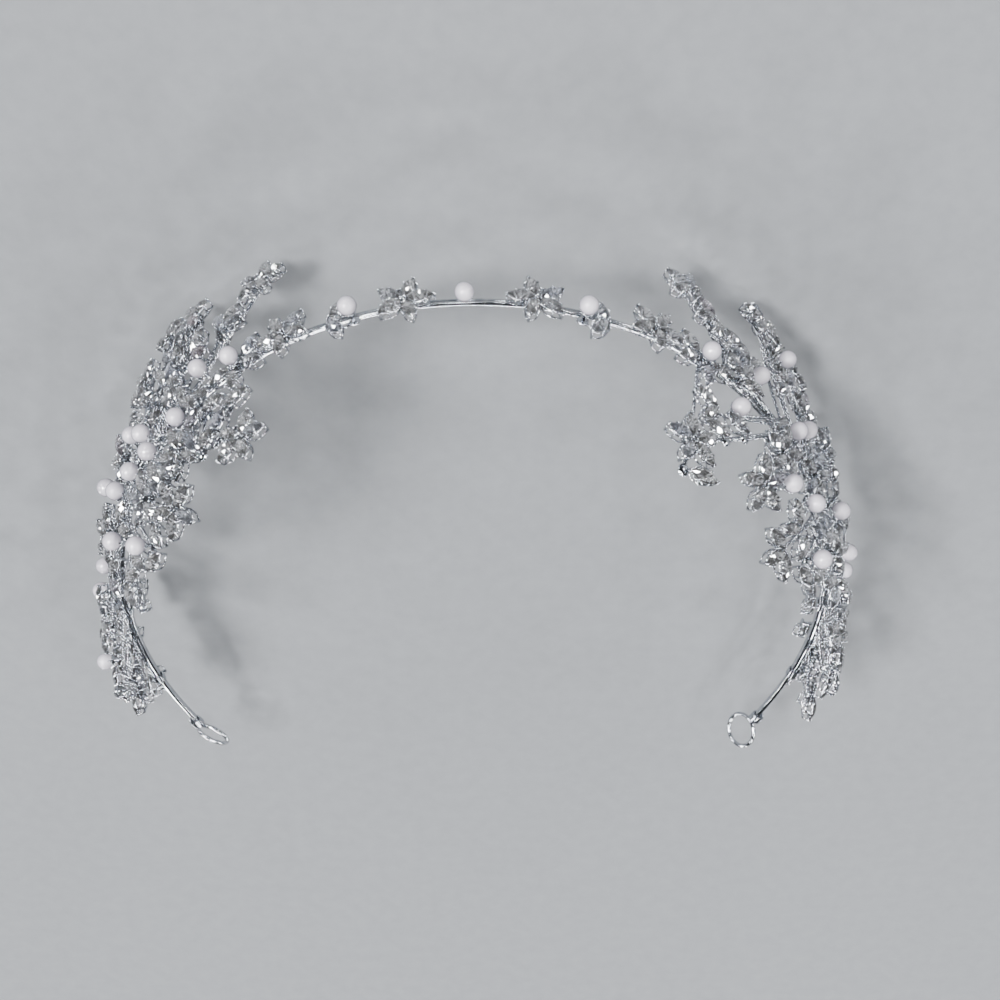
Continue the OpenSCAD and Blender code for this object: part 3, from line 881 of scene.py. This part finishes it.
# one broad soft lamp, and two rings of small bright lamps that the stones pick up, in metres
lamps = {"broad": {"place": (-0.35, 0.3, 0.6), "spread": 15, "strength": 2.4},
         "low": {"count": 11, "height": 0.16, "reach": 0.6, "size": 0.06, "power": 0.45},
         "high": {"count": 9, "height": 0.5, "reach": 0.35, "size": 0.055, "power": 0.4},
         "firstStep": 0.35}  # how far round each ring starts, in steps from lamp to lamp


def addLamp(data, place):
    # a lamp that faces the middle of the table
    lamp = bpy.data.objects.new(data.name, data)
    facing = Vector(place).to_track_quat("Z", "Y").to_matrix().to_4x4()
    lamp.matrix_world = Matrix.Translation(place) @ facing
    bpy.context.scene.collection.objects.link(lamp)


def addLamps():
    broad = lamps["broad"]
    data = bpy.data.lights.new("broad", "SUN")
    data.angle = math.radians(broad["spread"])
    data.energy = broad["strength"]
    addLamp(data, broad["place"])
    for name in ("low", "high"):
        ring = lamps[name]
        for n in range(ring["count"]):
            angle = 2 * math.pi * (n + lamps["firstStep"]) / ring["count"]
            data = bpy.data.lights.new(f"{name}{n}", "AREA")
            data.size = ring["size"]
            data.energy = ring["power"]
            addLamp(data, (ring["reach"] * math.cos(angle), ring["reach"] * math.sin(angle),
                           ring["height"]))


card = {"half": 12.0, "tones": ((0.3, "#86888B"), (0.7, "#8A8C8F")), "roughness": 0.8,
        "grain": 300}  # cells to a metre, so 3 mm wide, coarser than real card so that they show


def addFloor():
    # pale card, pressed and uncoated: flat, even and dull, with a faint grain
    mesh = bpy.data.meshes.new("floor")
    r = card["half"]
    mesh.from_pydata([(-r, -r, 0), (r, -r, 0), (r, r, 0), (-r, r, 0)], [], [(0, 1, 2, 3)])
    material, tree, shader = newMaterial("paleCard")
    place = addNode(tree, "ShaderNodeTexCoord").outputs["Object"]
    grain = addNode(tree, "ShaderNodeTexNoise",
                    {"Scale": card["grain"], "Detail": 3}, {"Vector": place})
    tone = addNode(tree, "ShaderNodeValToRGB",
                   {"stops": card["tones"]}, {"Fac": grain.outputs["Fac"]})
    dressNode(tree, shader, {"Roughness": card["roughness"]}, {"Base Color": tone.outputs["Color"]})
    mesh.materials.append(material)
    floor = bpy.data.objects.new("floor", mesh)
    bpy.context.scene.collection.objects.link(floor)


studio = {"colour": "#D8DCE2", "asLight": 0.06, "asBackdrop": 0.75, "look": "AgX - High Contrast"}


def addStudio():
    # surroundings that are pale where the camera sees them and give the pieces only a little light
    world = bpy.data.worlds.new("studio")
    world.use_nodes = True
    tree = world.node_tree
    path = addNode(tree, "ShaderNodeLightPath")
    glow = addNode(tree, "ShaderNodeMapRange", {
        "To Min": studio["asLight"], "To Max": studio["asBackdrop"]},
        {"Value": path.outputs["Is Camera Ray"]})
    dressNode(tree, tree.nodes["Background"], {"Color": colour(studio["colour"])},
              {"Strength": glow.outputs["Result"]})
    bpy.context.scene.world = world
    bpy.context.scene.view_settings.look = studio["look"]


addCamera()
addLamps()
addFloor()
addStudio()
print("camera, lamps, floor and studio placed")
